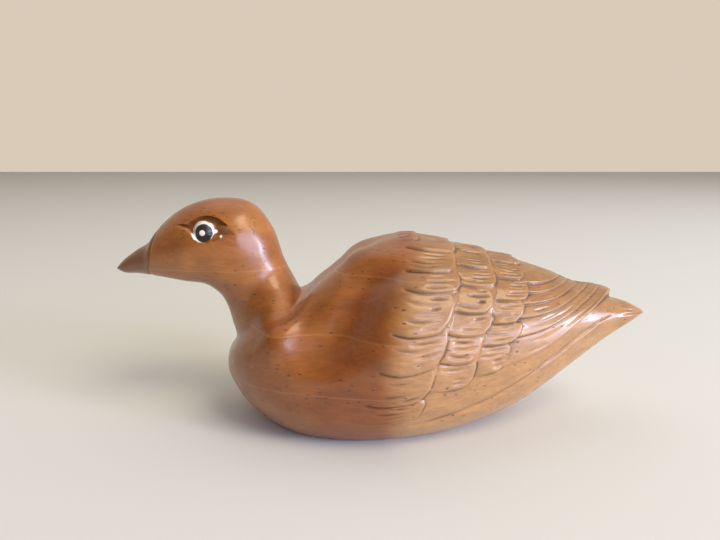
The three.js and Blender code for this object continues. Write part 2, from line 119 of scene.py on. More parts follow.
# Flight feathers: where each lower edge leaves the last row, round, and where it meets the
# middle of the back, along.
FLIGHT_FEATHERS = [(0.20, 0.840), (0.25, 0.856), (0.30, 0.874), (0.355, 0.893), (0.42, 0.915),
                   (0.50, 0.940)]
FLIGHT_FROM, FLIGHT_CURL = 0.74, 3.0
FLIGHT_STEP, FLIGHT_CUT, FLIGHT_CUT_WIDTH = 0.9, 0.35, 0.7  # mm
FLIGHT_FULL_WIDTH = 0.05  # round
FLIGHT_STROKES = 7
FLIGHT_STROKE_CENTRES = (0.15, 0.85)  # share of the feather's width
FLIGHT_STROKE_STARTS, FLIGHT_STROKE_LENGTHS = (0.762, 0.87), (0.03, 0.08)  # along
FLIGHT_STROKE_DEPTHS = (0.2, 0.45)  # mm
WING_TIP_RISE = dict(start=0.862, end=0.93, height=3.6)  # mm that the wing tips rise over the tail
UNDERCUT = 0.9  # mm that the flank lies below the wing's lower edge
UNDERCUT_BEGINS, UNDERCUT_ENDS = (0.60, 0.66), (0.94, 0.985)  # along
UNDERCUT_FADES = (0.60, 0.72)  # round

# Mantle: side-view lines of its ridge and of the hollow behind it, x and z in mm.
MANTLE_RIDGE = [(-2.0, 88.0), (-13.0, 80.5), (-20.0, 71.8), (-28.0, 62.5), (-32.0, 55.0)]
MANTLE_RIDGE_HEIGHT, MANTLE_RIDGE_WIDTH = 2.2, 5.0
HOLLOW = [(8.0, 87.0), (-5.0, 80.9), (-13.0, 70.0), (-18.5, 58.0), (-24.5, 44.0), (-29.0, 32.0)]
HOLLOW_DEPTH, HOLLOW_WIDTH_BEHIND = 7.5, 8.5
HOLLOW_WIDTH_FRONT = (5.0, 14.0)  # mm, at its top and at its foot
WING_FRONT = [(14.0, 86.0), (4.5, 76.0), (2.5, 65.0), (3.0, 50.0), (0.0, 38.0), (4.0, 24.0)]
WING_FRONT_HEIGHT, WING_FRONT_WIDTH = 1.6, 8.0
SLOPE_REACH = 3.0  # mm above and below a height, for the slope of a line there
BACK_VALLEY = dict(x=-15.6, half_length=13.0, depth=2.6, width=7.0, above=(40, 60))
NECK_SWELL = dict(x=-47.5, z=51.5, half_width=6.0, half_height=8.0, height=3.4)

UNEVENNESS = 0.07  # mm

BEAK_GROOVE = dict(along=0.0705, curl=0.0125, depth=0.55, width=0.0016)
FLANK_CREASES = [dict(low=0.665, high=0.47, start=0.585, end=0.90, depth=1.0, width=0.009),
                 dict(low=0.565, high=0.39, start=0.77, end=0.93, depth=0.7, width=0.008)]
TAIL_GROOVES = [0.16, 0.30, 0.42]  # round
TAIL_GROOVES_BEGIN, TAIL_GROOVES_END = (0.945, 0.96), (0.99, 1.0)  # along
TAIL_GROOVE_DEPTH = 0.5  # mm
TAIL_GROOVE_WIDTH = 0.018  # round

# Eye, in the side view, mm: the domed eyeball, and the socket between its brow and lower lines.
EYE = dict(x=-80.9, y=11.4, z=93.4, radius=6.2, shown=5.7, reach_x=20, reach_z=14)
SOCKET_BROW = [(-94.4, 96.7), (-90.2, 97.3), (-86.6, 99.0), (-83.6, 100.4), (-80.7, 101.0),
               (-77.9, 100.9), (-74.8, 100.0), (-71.3, 97.9), (-67.7, 94.3), (-66.3, 90.9),
               (-66.4, 89.5)]
SOCKET_LOWER = [(-66.4, 89.5), (-69.4, 91.0), (-72.8, 91.9), (-76.0, 90.3), (-80.3, 88.9),
                (-84.4, 90.4), (-87.0, 93.6), (-90.0, 95.4), (-94.4, 96.7)]
BROW_STEEPNESS, LOWER_STEEPNESS = 2.2, 0.36
SOCKET_DEPTH = 3.0

# Fineness of the mesh before it is thinned out: rows by (end place, spacing in mm).
MEAN_LENGTH = 305.0  # mm along the duck for along = 1
ROW_SPACING = [(0.066, 0.8), (0.088, 0.35), (0.118, 0.8), (0.220, 0.36), (0.54, 1.0), (0.95, 0.42),
               (1.0, 0.6)]
WING_LINES, BELLY_LINES = 230, 46  # lines from back to wing edge, and from there to the belly
WING_EDGE = 0.66
TRIANGLES_KEPT = 0.30
FINE_NORMAL = "fine_normal"

# Colours, linear red, green and blue.
WOOD_DARK = (0.275, 0.078, 0.009)
WOOD_LIGHT = (0.355, 0.118, 0.015)
# WOOD_TAN and WOOD_GOLD make the wing and rear pale: partly the wood's lighter tone, partly painted
# window light and sheen.
WOOD_TAN = (0.47, 0.235, 0.090)
WOOD_GOLD = (0.31, 0.140, 0.040)
# WOOD_RED darkens the front and the hollow behind the mantle: partly stain, partly painted shade.
WOOD_RED = (0.24, 0.050, 0.006)
WORN_EDGE = (0.55, 0.300, 0.120)
# Colour of the cuts and the eye's socket, partly grime and partly painted shade; also of the pores.
GROOVE_DIRT_AND_SHADE = (0.070, 0.024, 0.007)
GLUE_TONE = (0.60, 0.320, 0.120)
BEAK_STAIN = (0.19, 0.075, 0.028)
EYE_WHITE = (0.84, 0.80, 0.72)
EYE_BLACK = (0.012, 0.012, 0.011)
FLOOR_COLOUR = (0.72, 0.76, 0.77, 1)
ROOM_WALL = (0.70, 0.59, 0.48)
ROOM_FRONT = (0.14, 0.12, 0.105)

# Sizes of the wood's markings, in mm along X, Y and Z.
PORE_CELL = (4.5, 1.3, 1.3)
PORE_CLUSTER = (30.0, 16.0, 9.0)
GRAIN_WANDER = (70.0, 40.0, 40.0)
PATCHES = (70.0, 22.0, 14.0)
STREAKS = (30.0, 2.0, 1.5)
FIBRES = (5.0, 0.8, 0.6)
MOTTLE = (13.0, 9.0, 7.0)
GLOSS_PATCHES = (14.0, 3.0, 3.0)
GRAIN_RELIEF = (6.0, 0.6, 0.6)
PAINT_WOBBLE = (2.2, 2.2, 2.2)

LONE_PORES, CROWDED_PORES = 0.12, 0.60  # share of the cells that hold a pore, out of and in clusters
WANDER_Y, WANDER_Z = 14.0, 18.0  # mm that the grain bends sideways and upward
GRAIN_DEPTH, PORE_DEPTH = 0.03, 0.15  # mm
PALE_LOW, PALE_HIGH = 35.0, 75.0  # mm above the ground: the rear turns from tan to gold
GLUE_LINES = [27.5, 51.5, 75.5]  # mm above the ground
# Cuts are fully darkened, partly grime and partly painted shade, this deep; edges fully worn this
# high.
DIRT_AND_SHADE_FULL_AT, WEAR_FULL_AT = 0.45, 0.9  # mm below and above the carving round about
# The pale rear below is partly the wood's own tone and partly painted light.
REAR_FROM, REAR_TO = -5.0, 9.0  # mm behind the wing's front: the dark front turns lighter
# The front's darkening below is partly stain and partly painted shade on the hollow's wall.
DARK_FROM, DARK_TO = -7.0, 4.0  # mm behind the hollow's middle: the front turns darker
FLOOR_SIZE = 8.0  # m
LIT_CENTRE = (0.0, 0.0, 0.055)  # m


def smooth(low, high, value):
    """0 at low, 1 at high, and a smooth rise between them."""
    u = np.clip((value - low) / (high - low), 0, 1)
    return u * u * (3 - 2 * u)


def bell(value):
    return np.exp(-0.5 * value ** 2)


def mix(a, b, share):
    return a + (b - a) * share


def section_places():
    """Where the sections lie, along."""
    steps = np.diff(SECTIONS, axis=0)
    length = (np.hypot(steps[:, 0], steps[:, 1]) + np.hypot(steps[:, 2], steps[:, 3])) / 2
    places = np.concatenate([[0], np.cumsum(length)])
    return places / places[-1]


PLACES = section_places()


def section_slopes():
    """How fast each value of the sections changes with along."""
    width = np.diff(PLACES)
    chord = np.diff(SECTIONS, axis=0) / width[:, None]
    slopes = np.empty_like(SECTIONS)
    slopes[0], slopes[-1] = chord[0], chord[-1]
    share = (width[:-1] / (width[:-1] + width[1:]))[:, None]
    slopes[1:-1] = mix(chord[:-1], chord[1:], share)
    return slopes


SLOPES = section_slopes()


def plain_point(along, turn):
    """The plain form before any carving, on the left side (y below 0), in mm."""
    i = np.clip(np.searchsorted(PLACES, along, side="right") - 1, 0, len(PLACES) - 2)
    width = PLACES[i + 1] - PLACES[i]
    u = ((along - PLACES[i]) / width)[..., None]
    width = width[..., None]
    section = ((1 + 2 * u) * (1 - u) ** 2 * SECTIONS[i] + u * u * (3 - 2 * u) * SECTIONS[i + 1]
               + u * (1 - u) ** 2 * width * SLOPES[i] + u * u * (u - 1) * width * SLOPES[i + 1])
    section = np.moveaxis(section, -1, 0)
    back_x, back_z, belly_x, belly_z, half_width, widest, above, below = section
    angle = turn * np.pi
    upper = np.cos(angle) >= 0
    power = 2 / np.where(upper, above, below)
    rise = np.abs(np.cos(angle)) ** power
    share = np.where(upper, widest * (1 - rise), widest + (1 - widest) * rise)
    side = np.clip(np.sin(angle), 0, 1) ** power
    x, z = mix(back_x, belly_x, share), mix(back_z, belly_z, share)
    return np.stack([x, -half_width * side, z], -1)


def surface_frame(along, turn):
    """Plain points, outward directions, and mm per unit of along and of turn."""
    step = 1e-4
    lengthwise = (plain_point(np.clip(along + step, 0, 1), turn)
                  - plain_point(np.clip(along - step, 0, 1), turn))
    crosswise = (plain_point(along, np.clip(turn + step, 0, 1))
                 - plain_point(along, np.clip(turn - step, 0, 1)))
    outward = np.cross(crosswise, lengthwise)
    outward[:, [0, -1], 1] = 0
    outward /= np.maximum(np.linalg.norm(outward, axis=-1, keepdims=True), 1e-9)
    mm_along = np.linalg.norm(lengthwise, axis=-1) / (2 * step)
    mm_turn = np.linalg.norm(crosswise, axis=-1) / (2 * step)
    return plain_point(along, turn), outward, mm_along, mm_turn


def smoothed(line):
    """Cuts the corners of a line, three times over, so that it bends smoothly."""
    points = np.array(line)
    for _ in range(3):
        corners = [mix(points[:-1], points[1:], share) for share in (0.25, 0.75)]
        cut = np.stack(corners, 1).reshape(-1, 2)
        points = np.concatenate([points[:1], cut, points[-1:]])
    return points


def distance_from_line(x, z, line):
    """Signed distance of side-view points from a line that runs down from the back, above 0 on
    the tail's side, and how far down the line they lie."""
    line_x, line_z = smoothed(line)[::-1].T
    above, below = (np.interp(z + step, line_z, line_x) for step in (SLOPE_REACH, -SLOPE_REACH))
    slope = (above - below) / (2 * SLOPE_REACH)
    distance = (x - np.interp(z, line_z, line_x)) / np.hypot(1, slope)
    return distance, (line_z[-1] - z) / (line_z[-1] - line_z[0])


def lean(turn):
    """How far the feather rows lean forward, along, at a place round the body."""
    return TIP_LEAN * (np.clip(turn, TIP_LEAN_FROM, TIP_LEAN_TO) - TIP_LEAN_FROM)


def scatter(row, feather):
    """How far along a feather's tip lies from its row's: uneven, but the same each time."""
    return TIP_SCATTER * math.sin(12.9898 * row + 78.233 * feather + 1.7)


def edges_of_row(row, leaned):
    """The edges of a row's feathers where they cross each place of the row, from the back down."""
    spec = FEATHER_ROWS[row]
    share = np.clip((leaned - spec["start"]) / (spec["tips"] - spec["start"]), 0, 1)
    shift = spec["sag"] * np.sin(np.pi * share)
    return [edge + shift * (edge > 0) for edge in spec["edges"]]


def tip_of(row, feather, across):
    """How far along a feather ends, less at its corners, where across is -1 and 1."""
    rounding = TIP_ROUNDING * np.abs(across) ** TIP_ROUNDING_POWER
    return FEATHER_ROWS[row]["tips"] + scatter(row, feather) - rounding


def across_feather(turn, low, high):
    """-1 at a feather's upper edge and 1 at its lower one."""
    return np.clip((2 * turn - low - high) / (high - low), -1, 1)


def covers(distance):
    """How far a feather covers what lies under its edge, at a distance in mm inside the edge."""
    return smooth(-EDGE_SOFTNESS, EDGE_SOFTNESS, distance)


def tips_line(row, turn, mm_turn):
    """How far along the tips of a row end, at each place round the body."""
    edges = edges_of_row(row, np.full(turn.shape, FEATHER_ROWS[row]["tips"]))
    ends = None
    for feather in reversed(range(len(edges) - 1)):
        low, high = edges[feather], edges[feather + 1]
        tip = tip_of(row, feather, across_feather(turn, low, high))
        ends = tip if ends is None else mix(ends, tip, covers((high - turn) * mm_turn))
    return ends


def stroke_profile(off, width, spindle):
    """Depth of a knife stroke, 1 at its deepest, at a distance in mm to one side of its middle.
    The spindle, 0 to 1, makes it narrow and shallow towards its ends."""
    out = off / (width * np.maximum(spindle, 0.05))
    return spindle * np.clip(1 - out ** 1.5, 0, 1)


def hollow_strokes(row, feather, side, share, across, half_mm):
    """Spindle-shaped knife strokes along the rear of a feather, as a depth in mm."""
    on_back = FEATHER_ROWS[row]["edges"][feather] < 0
    rng = np.random.default_rng([row, feather, 0 if on_back else 2 + side])
    if on_back:
        across = across * side
    count = max(2, round(2 * float(np.median(half_mm)) / STROKE_SPACING))
    depth = np.zeros(share.shape)
    for stroke in range(count):
        place = (stroke + 0.5 + rng.uniform(-STROKE_SHIFT, STROKE_SHIFT)) / count
        centre = mix(-STROKE_REACH, STROKE_REACH, place)
        slope = rng.uniform(-STROKE_SLANT, STROKE_SLANT)
        start, end = rng.uniform(*STROKE_STARTS), rng.uniform(*STROKE_ENDS)
        width = STROKE_WIDTH * rng.uniform(*STROKE_WIDTHS)
        deep = STROKE_DEPTH * rng.uniform(*STROKE_DEPTHS)
        u = np.clip((share - start) / (end - start), 0, 1)
        spindle = np.sin(np.pi * u ** 0.8) ** 0.7
        off = np.abs(across - centre - slope * (share - 0.7)) * half_mm
        depth = np.maximum(depth, deep * stroke_profile(off, width, spindle))
    return depth


def carve_feather(row, feather, side, place, low, high, before):
    """Height in mm of one feather of a row, and where its tip ends."""
    leaned, turn, mm_along, mm_turn = place
    spec = FEATHER_ROWS[row]
    across = across_feather(turn, low, high)
    tip = tip_of(row, feather, across)
    comes_out = before > 0
    start = np.where(comes_out, before, spec["start"])
    share = np.clip((leaned - start) / (tip - start), 0, 1)
    height = mix(np.where(comes_out, FEATHER_FOOT, 0.0), FEATHER_TIP, share)
    height = height + FEATHER_TILT * across * smooth(0, 0.4, share)
    shown = smooth(0.0, 0.006, leaned - spec["start"])
    if spec["edges"][feather] >= 0:
        deep = EDGE_CUT * (1 + EDGE_CUT_AT_FOOT * (1 - share) * smooth(0.0, 0.15, share))
        from_edge = (turn - low) * mm_turn
        height = height - deep * bell((from_edge - EDGE_SOFTNESS) / EDGE_CUT_WIDTH) * shown
    from_foot = (leaned - start) * mm_along
    cut = EDGE_CUT * bell((from_foot - EDGE_SOFTNESS) / EDGE_CUT_WIDTH)
    height = height - np.where(comes_out, cut, 0)
    half_mm = (high - low) / 2 * mm_turn
    height = height - hollow_strokes(row, feather, side, share, across, half_mm)
    return np.where(leaned < spec["start"], 0.0, height), tip


def carve_row(row, side, along, turn, mm_along, mm_turn):
    """Height in mm of a feather row, and how far it covers what lies behind and below it."""
    leaned = along + lean(turn)
    place = (leaned, turn, mm_along, mm_turn)
    edges = edges_of_row(row, leaned)
    before = np.full(turn.shape, -1.0)
    if row > 0:
        before = tips_line(row - 1, turn, mm_turn)
    if row == 1:
        before = np.where(turn < FEATHER_ROWS[0]["edges"][-1], before, -1.0)
    height = ends = None
    for feather in reversed(range(len(edges) - 1)):
        low, high = edges[feather], edges[feather + 1]
        value, tip = carve_feather(row, feather, side, place, low, high, before)
        over = covers((high - turn) * mm_turn)
        height = value if height is None else mix(height, value, over)
        ends = tip if ends is None else mix(ends, tip, over)
    return height, covers((ends - leaned) * mm_along) * covers((edges[-1] - turn) * mm_turn)


def carve_flight(side, along, turn, mm_turn):
    """Height in mm of the flight feathers, and how far they cover the flank."""
    rise = smooth(WING_TIP_RISE["start"], WING_TIP_RISE["end"], along)
    level = WING_TIP_RISE["height"] * rise - UNDERCUT
    lowers = []
    for leave, end in FLIGHT_FEATHERS:
        u = np.maximum((along - FLIGHT_FROM) / (end - FLIGHT_FROM), 0)
        lowers.append(leave * (1 - u ** FLIGHT_CURL))
    height = None
    for feather in reversed(range(len(lowers))):
        lower = lowers[feather]
        upper = lowers[feather - 1] if feather else np.full(turn.shape, -0.2)
        shown = np.clip((lower - np.maximum(upper, 0)) / FLIGHT_FULL_WIDTH, 0, 1)
        across = np.clip((turn - upper) / np.maximum(lower - upper, 1e-4), 0, 1)
        value = FLIGHT_STEP * (across ** 1.5 - 0.45)
        value = value - FLIGHT_CUT * bell((turn - upper) * mm_turn / FLIGHT_CUT_WIDTH)
        width = np.maximum(lower - upper, 0) * mm_turn
        value = level + shown * (value - flight_strokes(feather, side, along, across, width))
        height = value if height is None else mix(height, value, covers((lower - turn) * mm_turn))
    begun = smooth(0, 0.004, along - FLIGHT_FROM + lean(turn))
    return height, covers((lowers[-1] - turn) * mm_turn) * begun


def flight_strokes(feather, side, along, across, width_mm):
    """Short knife strokes along a flight feather, as a depth in mm."""
    rng = np.random.default_rng([9, feather, 2 + side])
    depth = np.zeros(along.shape)
    for _ in range(FLIGHT_STROKES):
        centre = rng.uniform(*FLIGHT_STROKE_CENTRES)
        start = rng.uniform(*FLIGHT_STROKE_STARTS)
        share = np.clip((along - start) / rng.uniform(*FLIGHT_STROKE_LENGTHS), 0, 1)
        spindle = np.sin(np.pi * share) ** 0.7
        off = np.abs(across - centre) * width_mm
        deep = rng.uniform(*FLIGHT_STROKE_DEPTHS)
        depth = np.maximum(depth, deep * stroke_profile(off, STROKE_WIDTH, spindle))
    return depth


def carve_wing(side, along, turn, mm_along, mm_turn):
    """Height in mm of the wing's carving, foremost feathers on top, and 1 where it lies."""
    lengthwise = smooth(*UNDERCUT_BEGINS, along + lean(turn)) * (1 - smooth(*UNDERCUT_ENDS, along))
    height = -UNDERCUT * lengthwise * (1 - smooth(*UNDERCUT_FADES, turn))
    flight, over = carve_flight(side, along, turn, mm_turn)
    height = mix(height, flight, over)
    covered = over
    for row in reversed(range(len(FEATHER_ROWS))):
        feathers, over = carve_row(row, side, along, turn, mm_along, mm_turn)
        height = mix(height, feathers, over)
        covered = np.maximum(covered, over)
    return height, covered


def carve_mantle(point):
    """Height in mm of the shoulder's forms, and the marks of the pale rear and the dark front."""
    x, y, z = np.moveaxis(point, -1, 0)
    ridge, ridge_share = distance_from_line(x, z, MANTLE_RIDGE)
    hollow, hollow_share = distance_from_line(x, z, HOLLOW)
    front, front_share = distance_from_line(x, z, WING_FRONT)

    def fade(share):
        return smooth(0, 0.2, share) * (1 - smooth(0.6, 1, share))

    width = mix(*HOLLOW_WIDTH_FRONT, np.clip(hollow_share, 0, 1))
    width = np.where(hollow > 0, HOLLOW_WIDTH_BEHIND, width)
    valley = (BACK_VALLEY["depth"] * bell((x - BACK_VALLEY["x"]) / BACK_VALLEY["half_length"])
              * bell(y / BACK_VALLEY["width"]) * smooth(*BACK_VALLEY["above"], z))
    depth = HOLLOW_DEPTH * fade(hollow_share) * bell(hollow / width)
    # The pale rear mark: partly lighter wood, partly painted window light where the wing's front
    # turns to the light.
    rear = smooth(REAR_FROM, REAR_TO, front)
    # The dark front mark: partly stain, partly painted shade where the hollow faces away from the
    # light.
    dark = smooth(DARK_FROM, DARK_TO, hollow) * (1 - rear)
    raised = (MANTLE_RIDGE_HEIGHT * fade(ridge_share) * bell(ridge / MANTLE_RIDGE_WIDTH)
              + WING_FRONT_HEIGHT * fade(front_share) * bell(front / WING_FRONT_WIDTH)
              + NECK_SWELL["height"] * bell((x - NECK_SWELL["x"]) / NECK_SWELL["half_width"])
              * bell((z - NECK_SWELL["z"]) / NECK_SWELL["half_height"]))
    return raised - depth - valley, dict(rear=rear, dark=dark)


def carve_grooves(along, turn):
    """Height in mm of the grooves of beak, flank and tail, and 1 where the beak lies."""
    beak_at = BEAK_GROOVE["along"] + BEAK_GROOVE["curl"] * (1 - turn) ** 3
    beak = BEAK_GROOVE["depth"] * bell((along - beak_at) / BEAK_GROOVE["width"])
    creases = np.zeros(turn.shape)
    for crease in FLANK_CREASES:
        share = np.clip((along - crease["start"]) / (crease["end"] - crease["start"]), 0, 1)
        off = (turn - mix(crease["low"], crease["high"], share ** 2)) / crease["width"]
        lengthwise = smooth(0.0, 0.25, share) * (1 - smooth(0.93, 1.0, share))
        creases += crease["depth"] * lengthwise * bell(off)
    ends = smooth(*TAIL_GROOVES_BEGIN, along) * (1 - smooth(*TAIL_GROOVES_END, along))
    tail = sum(TAIL_GROOVE_DEPTH * ends * bell((turn - place) / TAIL_GROOVE_WIDTH)
               for place in TAIL_GROOVES)
    return -beak - creases - tail, smooth(0.0012, -0.0012, along - beak_at)


def carve_eye(point):
    """Moves points near the eye sideways: into the socket, or out to the eyeball's dome."""
    x, y, z = np.moveaxis(point, -1, 0)
    near = (np.abs(x - EYE["x"]) < EYE["reach_x"]) & (np.abs(z - EYE["z"]) < EYE["reach_z"])
    brow, _ = distance_from_line(x, z, SOCKET_BROW)
    lower, _ = distance_from_line(x, z, SOCKET_LOWER)
    inside = near & inside_outline(x, z, SOCKET_BROW + SOCKET_LOWER[1:-1])
    depth = np.minimum(np.abs(brow) * BROW_STEEPNESS, np.abs(lower) * LOWER_STEEPNESS)
    depth = np.where(inside, np.minimum(depth, SOCKET_DEPTH), 0)
    size = np.abs(y) - depth
    from_centre = np.hypot(x - EYE["x"], z - EYE["z"])
    dome = EYE["y"] + np.sqrt(np.maximum(EYE["radius"] ** 2 - from_centre ** 2, 0))
    on_ball = near & (from_centre < EYE["shown"])
    size = np.where(on_ball, np.maximum(size, dome), size)
    moved = point.copy()
    moved[..., 1] = np.where(near, np.sign(y) * size, y)
    return moved, depth


def inside_outline(x, z, outline):
    """True for the side-view points inside a closed outline."""
    inside = np.zeros(x.shape, bool)
    for (ax, az), (bx, bz) in zip(outline, outline[1:] + outline[:1]):
        crosses = (az > z) != (bz > z)
        inside ^= crosses & (x < (bx - ax) * (z - az) / (bz - az if bz != az else 1e-9) + ax)
    return inside


def softened(values, passes):
    """Rounds steps a little, as sanding does: a small blur over neighbouring places."""
    for _ in range(passes):
        for axis in (0, 1):
            padded = np.concatenate([values.take([0], axis), values, values.take([-1], axis)], axis)
            n = values.shape[axis]
            before, after = padded.take(range(0, n), axis), padded.take(range(2, n + 2), axis)
            values = (before + 2 * values + after) / 4
    return values


def rows_along():
    """Places of the mesh's rows, along."""
    places, at = [0.0], 0.0
    for end, spacing in ROW_SPACING:
        count = max(1, round((end - at) * MEAN_LENGTH / spacing))
        places.extend(np.linspace(at, end, count + 1)[1:])
        at = end
    return np.array(places)


def lines_round():
    """Places of the mesh's lines, round."""
    return np.concatenate([np.linspace(0, WING_EDGE, WING_LINES, endpoint=False),
                           np.linspace(WING_EDGE, 1, BELLY_LINES)])


def unevenness(point):
    """The slight waviness of a hand-carved and sanded surface, in mm."""
    x, y, z = np.moveaxis(point, -1, 0)
    waves = (np.sin(x / 7.9 + y / 11.0 + 1.0) * np.sin(z / 9.3 - y / 13.0 + 0.4)
             + 0.6 * np.sin(x / 4.7 - z / 6.1 + 2.0) * np.sin(y / 5.3 + z / 8.7))
    return UNEVENNESS * waves


def carve_side(side):
    """One side's points, -1 the left and 1 the right, and marks for the material."""
    along, turn = np.meshgrid(rows_along(), lines_round(), indexing="ij")
    point, outward, mm_along, mm_turn = surface_frame(along, turn)
    wing, on_wing = carve_wing(side, along, turn, mm_along, mm_turn)
    mantle, mantle_marks = carve_mantle(point)
    grooves, beak = carve_grooves(along, turn)
    carving = softened(wing + grooves, 1)
    point = point + outward * (carving + mantle + unevenness(point))[..., None]
    point, socket = carve_eye(point)
    point[..., 2] = np.maximum(point[..., 2], 0)
    point[..., 1] *= -side
    proud = carving - softened(carving, 14)
    # The groove mark darkens the cuts and the eye's socket: partly grime, partly painted shade.
    groove = np.clip(-proud / DIRT_AND_SHADE_FULL_AT, 0, 1) + np.clip(socket / SOCKET_DEPTH, 0, 0.6)
    wear = np.clip(proud / WEAR_FULL_AT, 0, 1)
    marks = dict(groove=groove, wear=wear, beak=beak, wing=on_wing, **mantle_marks)
    return point, marks


def joined_sides():
    """Both sides as one ring of lines: down the left side and up the right."""
    left, left_marks = carve_side(-1)
    right, right_marks = carve_side(1)

    def ring(down, up):
        return np.concatenate([down, up[:, -2:0:-1]], 1)

    marks = {name: ring(left_marks[name], right_marks[name]) for name in left_marks}
    return ring(left, right), marks


def make_mesh(points, marks):
    """The fine mesh of the whole duck, closed at both tips."""
    rows, lines = points.shape[:2]
    index = np.arange(rows * lines).reshape(rows, lines)
    across = np.roll(index, -1, axis=1)
    quads = np.stack([index[:-1], across[:-1], across[1:], index[1:]], -1).reshape(-1, 4)
    mesh = bpy.data.meshes.new("duck")
    vertices = points.reshape(-1, 3) * MM
    caps = [index[0][::-1], index[-1]]
    loops = np.concatenate([quads.ravel(), *caps])
    starts = np.concatenate([np.arange(len(quads)) * 4, len(quads) * 4 + np.array([0, lines])])
    mesh.vertices.add(len(vertices))
    mesh.vertices.foreach_set("co", vertices.ravel())
    mesh.loops.add(len(loops))
    mesh.loops.foreach_set("vertex_index", loops)
    mesh.polygons.add(len(starts))
    mesh.polygons.foreach_set("loop_start", starts)
    mesh.update(calc_edges=True)
    for name, values in marks.items():
        attribute = mesh.attributes.new(name, "FLOAT", "POINT")
        attribute.data.foreach_set("value", values.ravel().astype(np.float32))
    mesh.polygons.foreach_set("use_smooth", np.ones(len(mesh.polygons), bool))
    mesh.validate()
    normals = np.empty(len(mesh.vertices) * 3, np.float32)
    mesh.vertex_normals.foreach_get("vector", normals)
    mesh.attributes.new(FINE_NORMAL, "FLOAT_VECTOR", "POINT").data.foreach_set("vector", normals)
    return mesh


def thinned(duck):
    """The duck's mesh with fewer triangles, shaded with the normals of the fine mesh."""
    thin = duck.modifiers.new("thin", "DECIMATE")
    thin.ratio = TRIANGLES_KEPT
    evaluated = duck.evaluated_get(bpy.context.evaluated_depsgraph_get())
    mesh = bpy.data.meshes.new_from_object(evaluated)
    duck.modifiers.clear()
    normals = np.empty(len(mesh.vertices) * 3, np.float32)
    mesh.attributes[FINE_NORMAL].data.foreach_get("vector", normals)
    normals = normals.reshape(-1, 3)
    normals /= np.maximum(np.linalg.norm(normals, axis=1, keepdims=True), 1e-9)
    mesh.attributes.remove(mesh.attributes[FINE_NORMAL])
    mesh.normals_split_custom_set_from_vertices(normals)
    return mesh


def make_duck():
    points, marks = joined_sides()
    duck = bpy.data.objects.new("duck", make_mesh(points, marks))
    bpy.context.collection.objects.link(duck)
    duck.data = thinned(duck)
    return duck


duck = make_duck()


def add_node(tree, kind, inputs=None, **settings):
    """Adds a node, sets its own settings, and sets or links its inputs by name or number."""
    node = tree.nodes.new("ShaderNode" + kind)
    for name, value in settings.items():
        setattr(node, name, value)
    for name, value in (inputs or {}).items():
        if isinstance(value, bpy.types.NodeSocket):
            tree.links.new(value, node.inputs[name])
        else:
            node.inputs[name].default_value = value
    return node


def calc(tree, operation, *values):
    return add_node(tree, "Math", dict(enumerate(values)), operation=operation).outputs[0]


def ramp(tree, value, low, high, to_low=0.0, to_high=1.0):
    """Takes the range from low to high smoothly to another range."""
    inputs = {"Value": value, "From Min": low, "From Max": high,
              "To Min": to_low, "To Max": to_high}
    return add_node(tree, "MapRange", inputs, interpolation_type="SMOOTHSTEP").outputs[0]


def blend_colour(tree, share, first, second):
    node = add_node(tree, "Mix", {"Factor": share}, data_type="RGBA")
    for socket, value in ((node.inputs[6], first), (node.inputs[7], second)):
        if isinstance(value, bpy.types.NodeSocket):
            tree.links.new(value, socket)
        else:
            socket.default_value = (*value, 1.0)
    return node.outputs[2]


def scaled_by(tree, value, factor):
    """A place in other units, or a colour made darker or lighter."""
    return add_node(tree, "VectorMath", {0: value, "Scale": factor}, operation="SCALE").outputs[0]


def noise(tree, place, size, detail=2.0, roughness=0.5):
    """Noise whose features measure about size, in mm along X, Y and Z."""
    scaled = add_node(tree, "VectorMath", {0: place, 1: size}, operation="DIVIDE").outputs[0]
    inputs = {"Vector": scaled, "Scale": 1.0, "Detail": detail, "Roughness": roughness}
    return add_node(tree, "TexNoise", inputs).outputs["Fac"]


def mark(tree, name):
    """One of the values kept on the mesh while it was carved."""
    return add_node(tree, "Attribute", attribute_name=name).outputs["Fac"]


def pores(tree, place):
    """Open pores of the wood: dark dashes along the grain, in loose clusters."""
    cells = add_node(tree, "VectorMath", {0: place, 1: PORE_CELL}, operation="DIVIDE").outputs[0]
    spots = add_node(tree, "TexVoronoi", {"Vector": cells, "Scale": 1.0, "Randomness": 1.0})
    chance = add_node(tree, "SeparateColor", {0: spots.outputs["Color"]}).outputs[0]
    crowd = ramp(tree, noise(tree, place, PORE_CLUSTER), 0.42, 0.68, LONE_PORES, CROWDED_PORES)
    limit = calc(tree, "SUBTRACT", 1.0, crowd)
    chosen = calc(tree, "GREATER_THAN", chance, limit)
    near = ramp(tree, spots.outputs["Distance"], 0.13, 0.28, 1.0, 0.0)
    return calc(tree, "MULTIPLY", chosen, near)


def glue_lines(tree, height):
    """1 on the thin joints between the glued boards."""
    lines = None
    for level in GLUE_LINES:
        off = calc(tree, "ABSOLUTE", calc(tree, "SUBTRACT", height, level))
        line = ramp(tree, off, 0.1, 0.5, 1.0, 0.0)
        lines = line if lines is None else calc(tree, "ADD", lines, line)
    return lines


def flat_distance(tree, place, x, z, stretch=(1.0, 1.0)):
    """Distance in the side view, in mm, from the point x, z, less along a stretched direction."""
    moved = add_node(tree, "VectorMath", {0: place, 1: (x, 0, z)}, operation="SUBTRACT")
    scale = (1 / stretch[0], 0, 1 / stretch[1])
    scaled = add_node(tree, "VectorMath", {0: moved.outputs[0], 1: scale}, operation="MULTIPLY")
    return add_node(tree, "VectorMath", {0: scaled.outputs[0]}, operation="LENGTH").outputs["Value"]


